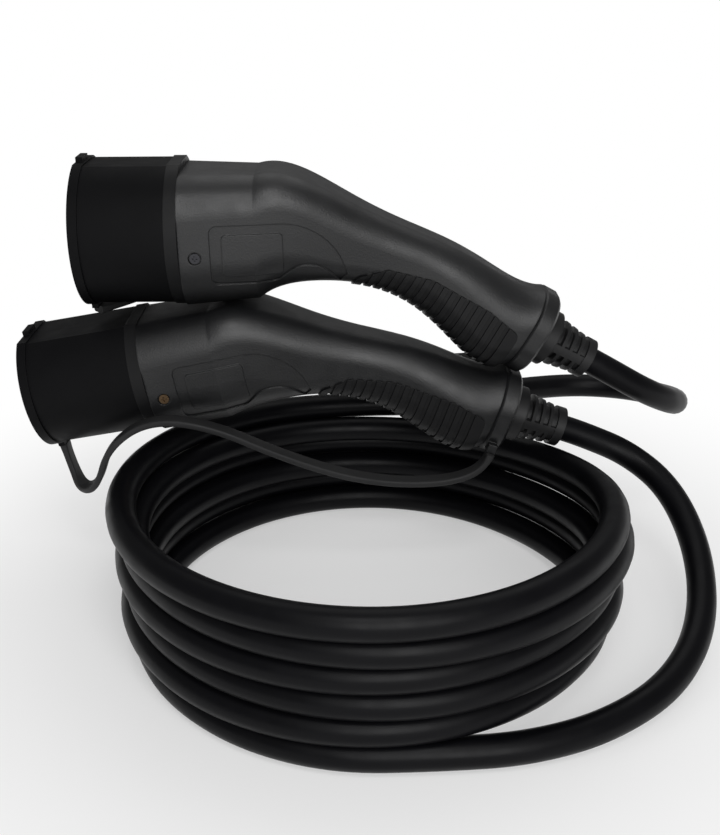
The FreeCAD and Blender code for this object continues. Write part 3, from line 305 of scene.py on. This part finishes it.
def finish(name, colour, rough, metal=0.0, grain=900, grain_depth=0.00005, grain_strength=0.25,
           edge=0.0004, shine=0.4):
    """A moulded or metal finish: fine grain, uneven gloss, slight tone changes and eased edges."""
    material = bpy.data.materials.new(name)
    material.use_nodes = True
    tree = material.node_tree
    shader = tree.nodes["Principled BSDF"]
    shader.inputs["Metallic"].default_value = metal
    shader.inputs["Specular IOR Level"].default_value = shine
    place = tree.nodes.new("ShaderNodeTexCoord")
    clouds = add(tree, "ShaderNodeTexNoise", Scale=CLOUD_SCALE, Detail=CLOUD_DETAIL)
    tree.links.new(place.outputs["Object"], clouds.inputs["Vector"])
    dark = tuple(c * (1 - TONE_SPREAD) for c in colour) + (1,)
    light = tuple(min(1, c * (1 + TONE_SPREAD)) for c in colour) + (1,)
    tint = tree.nodes.new("ShaderNodeValToRGB")
    first, last = tint.color_ramp.elements
    first.position, last.position = NOISE_LOW, NOISE_HIGH
    first.color, last.color = dark, light
    tree.links.new(clouds.outputs["Fac"], tint.inputs["Fac"])
    tree.links.new(tint.outputs["Color"], shader.inputs["Base Color"])
    smears = add(tree, "ShaderNodeTexNoise", Scale=CLOUD_SCALE * SMEAR_RATIO,
                 Detail=SMEAR_DETAIL)
    tree.links.new(place.outputs["Object"], smears.inputs["Vector"])
    gloss = tree.nodes.new("ShaderNodeMapRange")
    gloss.inputs["From Min"].default_value = NOISE_LOW
    gloss.inputs["From Max"].default_value = NOISE_HIGH
    gloss.inputs["To Min"].default_value = rough - ROUGH_SPREAD
    gloss.inputs["To Max"].default_value = rough + ROUGH_SPREAD
    tree.links.new(smears.outputs["Fac"], gloss.inputs["Value"])
    tree.links.new(gloss.outputs["Result"], shader.inputs["Roughness"])
    eased = tree.nodes.new("ShaderNodeBevel")
    eased.samples = EDGE_SAMPLES
    eased.inputs["Radius"].default_value = edge
    grains = add(tree, "ShaderNodeTexNoise", Scale=grain, Detail=GRAIN_DETAIL)
    tree.links.new(place.outputs["Object"], grains.inputs["Vector"])
    bump = tree.nodes.new("ShaderNodeBump")
    bump.inputs["Strength"].default_value = grain_strength
    bump.inputs["Distance"].default_value = grain_depth
    tree.links.new(grains.outputs["Fac"], bump.inputs["Height"])
    tree.links.new(eased.outputs["Normal"], bump.inputs["Normal"])
    tree.links.new(bump.outputs["Normal"], shader.inputs["Normal"])
    return material


# Colours are linear; grain_depth and edge, the radius of an eased edge, are in metres.
LOOKS = {
    "cap_plastic": dict(colour=(0.0045, 0.0045, 0.005), rough=0.5, grain=1500,
                        grain_strength=0.08, shine=0.07),
    "strap_rubber": dict(colour=(0.020, 0.020, 0.0205), rough=0.60, grain=1100,
                         grain_strength=0.2, shine=0.3),
    "ring_plastic": dict(colour=(0.006, 0.006, 0.0065), rough=0.48, grain=1000,
                         grain_strength=0.2, shine=0.2),
    "nose_plastic": dict(colour=(0.012, 0.012, 0.0125), rough=0.45, grain=1200,
                         grain_strength=0.15),
    "housing_plastic": dict(colour=(0.0062, 0.0064, 0.0070), rough=0.45, grain=1200,
                            grain_depth=0.00014, grain_strength=0.8, shine=0.55, edge=0.0008),
    "grip_rubber": dict(colour=(0.006, 0.006, 0.0065), rough=0.50, grain=900,
                        grain_strength=0.3, shine=0.25),
    "screw_steel": dict(colour=(0.05, 0.05, 0.055), rough=0.35, metal=1.0, edge=0.0002),
    "screw_brass": dict(colour=(0.16, 0.105, 0.06), rough=0.35, metal=1.0, edge=0.0002),
    "boot_rubber": dict(colour=(0.009, 0.009, 0.0095), rough=0.48, grain=900,
                        grain_strength=0.25, shine=0.35),
    "contact_metal": dict(colour=(0.72, 0.71, 0.69), rough=0.28, metal=1.0, edge=0.0002),
    "cable_jacket": dict(colour=(0.0025, 0.0025, 0.0033), rough=0.40, grain=1600,
                         grain_strength=0.08, shine=0.13),
}
finishes = {name: finish(name, **look) for name, look in LOOKS.items()}
slots = {row["node"]: row["material_slot"] for row in frame["record"]["subparts"]}
for name, node in frame["nodes"].items():
    if not node.material_slots:
        node.data.materials.append(finishes[slots[name]])
    for material_slot in node.material_slots:
        material_slot.material = finishes[slots[name]]
    node.data.shade_smooth()
    node.data.set_sharp_from_angle(angle=math.radians(NODE_SHARP))
cable.data.materials.append(finishes["cable_jacket"])
for strap in straps:
    strap.data.materials.append(finishes["strap_rubber"])

# Floor and light

WHITE = (1, 1, 1, 1)
FLOOR_HALF = 40
FLOOR_COLOUR = (0.9, 0.9, 0.9, 1)
FLOOR_ROUGH = 0.9
FLOOR_SHINE = 0.1

# The share of plain white in the floor grows from FADE_LEAST to 1 between these distances.
FADE_START = 0.10
FADE_END = 0.40
FADE_LEAST = 0.4

floor_mesh = bpy.data.meshes.new("floor")
corners = [(x * FLOOR_HALF, y * FLOOR_HALF, 0) for x, y in ((-1, -1), (1, -1), (1, 1), (-1, 1))]
floor_mesh.from_pydata(corners, [], [(0, 1, 2, 3)])
floor = bpy.data.objects.new("floor", floor_mesh)
bpy.context.scene.collection.objects.link(floor)


def white_for_camera(tree, lit, share):
    """A lit shader mixed with plain white by this share, where the camera or gloss sees it."""
    path = tree.nodes.new("ShaderNodeLightPath")
    seen = add(tree, "ShaderNodeMath", operation="MAXIMUM")
    tree.links.new(path.outputs["Is Camera Ray"], seen.inputs[0])
    tree.links.new(path.outputs["Is Glossy Ray"], seen.inputs[1])
    both = add(tree, "ShaderNodeMath", operation="MULTIPLY")
    tree.links.new(seen.outputs[0], both.inputs[0])
    tree.links.new(share, both.inputs[1])
    white = tree.nodes.new("ShaderNodeEmission")
    white.inputs["Color"].default_value = WHITE
    mix = tree.nodes.new("ShaderNodeMixShader")
    tree.links.new(both.outputs[0], mix.inputs[0])
    tree.links.new(lit, mix.inputs[1])
    tree.links.new(white.outputs[0], mix.inputs[2])
    return mix.outputs[0]


def floor_finish():
    """Pale and matt near the object, and plain white further out."""
    material = bpy.data.materials.new("floor")
    material.use_nodes = True
    tree = material.node_tree
    shader = tree.nodes["Principled BSDF"]
    shader.inputs["Base Color"].default_value = FLOOR_COLOUR
    shader.inputs["Roughness"].default_value = FLOOR_ROUGH
    shader.inputs["Specular IOR Level"].default_value = FLOOR_SHINE
    place = tree.nodes.new("ShaderNodeTexCoord")
    reach = add(tree, "ShaderNodeVectorMath", operation="LENGTH")
    tree.links.new(place.outputs["Object"], reach.inputs[0])
    fade = add(tree, "ShaderNodeMapRange", interpolation_type="SMOOTHSTEP")
    fade.inputs["From Min"].default_value = FADE_START
    fade.inputs["From Max"].default_value = FADE_END
    fade.inputs["To Min"].default_value = FADE_LEAST
    tree.links.new(reach.outputs["Value"], fade.inputs["Value"])
    out = white_for_camera(tree, shader.outputs["BSDF"], fade.outputs["Result"])
    tree.links.new(out, tree.nodes["Material Output"].inputs["Surface"])
    return material


floor_mesh.materials.append(floor_finish())

# Even light from all round, where the camera sees plain white instead
WORLD_LIGHT = 0.21
world = bpy.data.worlds.new("world")
world.use_nodes = True
sky = world.node_tree
sky.nodes["Background"].inputs["Color"].default_value = WHITE
sky.nodes["Background"].inputs["Strength"].default_value = WORLD_LIGHT
path = sky.nodes.new("ShaderNodeLightPath")
backdrop = sky.nodes.new("ShaderNodeBackground")
backdrop.inputs["Color"].default_value = WHITE
mix = sky.nodes.new("ShaderNodeMixShader")
sky.links.new(path.outputs["Is Camera Ray"], mix.inputs[0])
sky.links.new(sky.nodes["Background"].outputs[0], mix.inputs[1])
sky.links.new(backdrop.outputs[0], mix.inputs[2])
sky.links.new(mix.outputs[0], sky.nodes["World Output"].inputs["Surface"])
bpy.context.scene.world = world


def area_light(name, spot, aim, size, power):
    """A square lamp of this size in metres and power in watts, at a spot and turned to another."""
    data = bpy.data.lights.new(name, "AREA")
    data.size = size
    data.energy = power
    lamp = bpy.data.objects.new(name, data)
    lamp.location = spot
    lamp.rotation_euler = (Vector(aim) - Vector(spot)).to_track_quat("-Z", "Y").to_euler()
    bpy.context.scene.collection.objects.link(lamp)


area_light("key_light", spot=(0.05, -0.60, 1.10), aim=(0, 0, 0.1), size=0.4, power=3)
area_light("back_light", spot=(0.1, 0.70, 1.3), aim=(0, 0.05, 0.1), size=1.2, power=4)
area_light("front_light", spot=(0.20, -1.10, 0.62), aim=(0, 0.07, 0.15), size=0.8, power=9)

bpy.context.scene.view_settings.view_transform = "Standard"
